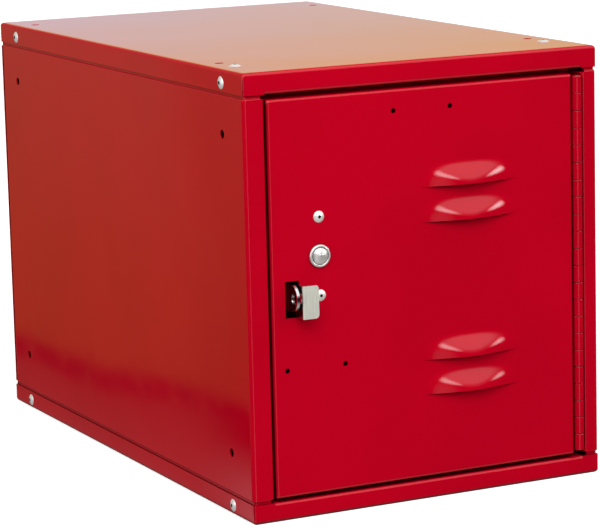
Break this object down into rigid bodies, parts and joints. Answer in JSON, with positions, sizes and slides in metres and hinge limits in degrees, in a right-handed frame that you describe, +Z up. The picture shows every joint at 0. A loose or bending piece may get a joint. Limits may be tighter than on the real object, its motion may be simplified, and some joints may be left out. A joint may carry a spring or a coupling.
{
  "type": "school locker",
  "caption": "Single-compartment box locker in folded sheet metal, with a louvred door on a continuous hinge, a padlock staple and a hasp that is also the door pull.",
  "frame": {"origin": "centre of the cabinet's footprint, on the plane that it stands on", "axes": "+X to the right across the front, +Y from the front to the back, +Z up; the door is on the -Y side"},
  "size_m": [0.288, 0.4775, 0.3215],
  "materials": {
    "red_powder_coat": "glossy red powder coat with a faint orange-peel texture",
    "rivet_aluminium": "bare satin aluminium blind rivets",
    "zinc_plate": "satin zinc-plated steel",
    "chrome_plate": "bright nickel-chrome plate",
    "plug_steel": "bright plated dome with fine scratches",
    "pin_steel": "drawn steel wire",
    "spring_steel": "plain spring steel",
    "black_rubber": "matt moulded rubber"
  },
  "bodies": {
    "cabinet": {"top_pan": "red_powder_coat", "bottom_pan": "red_powder_coat", "left_side_panel": "red_powder_coat", "right_side_panel": "red_powder_coat", "back_panel": "red_powder_coat", "hinge_frame_leaf": "red_powder_coat", "hinge_pin": "pin_steel", "hinge_frame_rivets": "rivet_aluminium", "padlock_staple": "chrome_plate", "staple_rivets": "rivet_aluminium", "door_bumpers": "black_rubber", "left_side_rivets": "rivet_aluminium", "right_side_rivets": "rivet_aluminium", "top_corner_rivets": "rivet_aluminium", "back_rivets": "rivet_aluminium"},
    "door": {"door_panel": "red_powder_coat", "hinge_door_leaf": "red_powder_coat", "hinge_door_rivets": "rivet_aluminium", "pull_hasp": "zinc_plate", "friction_catch": "spring_steel", "lock_hole_plug": "plug_steel", "lock_rivets": "rivet_aluminium"}
  },
  "joints": [
    {"name": "door_hinge", "type": "hinge", "parent": "cabinet", "child": "door", "pos_m": [0.126, -0.2315, 0.16], "axis": [0, 0, 1], "range_deg": [0, 150]}
  ]
}
